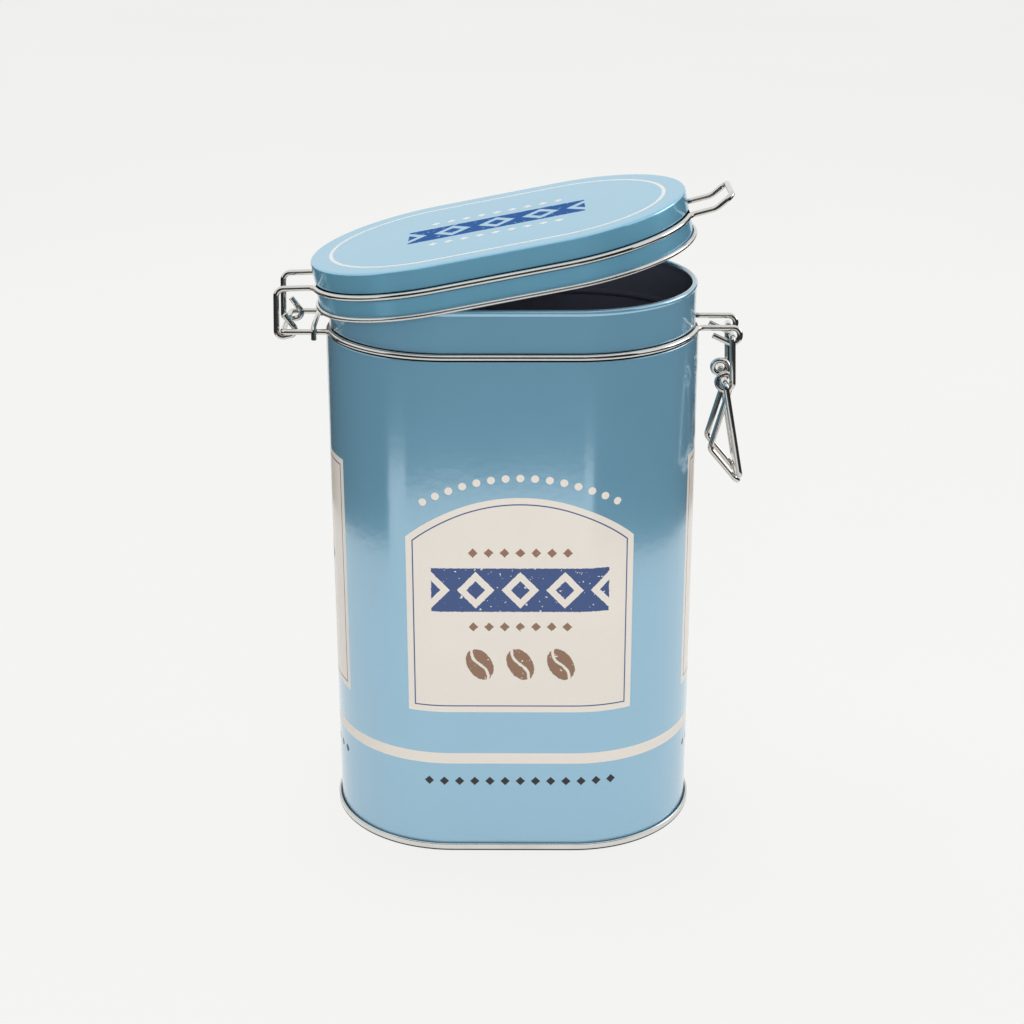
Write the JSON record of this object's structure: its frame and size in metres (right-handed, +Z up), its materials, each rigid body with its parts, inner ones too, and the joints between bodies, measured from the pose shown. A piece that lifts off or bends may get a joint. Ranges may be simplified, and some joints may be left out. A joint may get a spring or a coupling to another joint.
{
  "type": "clip-top tin canister",
  "caption": "Tall obround tinplate food canister with a hinged lid held by a wire lever clip, lid ajar and clip hanging open.",
  "frame": {"origin": "middle of the base, in the plane that the tin stands on", "axes": "+Z up, -Y out of the broad front face, -X towards the hinge, +X towards the latch"},
  "size_m": [0.1444, 0.0808, 0.2064],
  "materials": {
    "printed_body": "glossy printed lacquer on tinplate",
    "printed_lid": "glossy printed lacquer on tinplate",
    "bare_tinplate": "bright unprinted tinplate",
    "bright_wire": "bright plated spring wire",
    "silicone": "translucent white food-grade silicone, satin"
  },
  "bodies": {
    "root": {"body_shell": "printed_body", "base_plate": "bare_tinplate", "body_wire": "bright_wire", "hinge_tie": "bright_wire"},
    "lid": {"lid_shell": "printed_lid", "lid_gasket": "silicone", "lid_wire": "bright_wire"},
    "lever": {"latch_lever": "bright_wire"},
    "bail": {"latch_bail": "bright_wire"}
  },
  "joints": [
    {"name": "lid_hinge", "type": "hinge", "parent": "root", "child": "lid", "pos_m": [-0.0696, 0, 0.16415], "axis": [0, -1, 0], "range_deg": [-11.1, 225]},
    {"name": "lever_hinge", "type": "hinge", "parent": "root", "child": "lever", "pos_m": [0.0672, 0, 0.16145], "axis": [0, -1, 0], "range_deg": [-5.5, 140]},
    {"name": "bail_hinge", "type": "hinge", "parent": "lever", "child": "bail", "pos_m": [0.0654, 0, 0.14717], "axis": [0, -1, 0], "range_deg": [0, 174]}
  ]
}
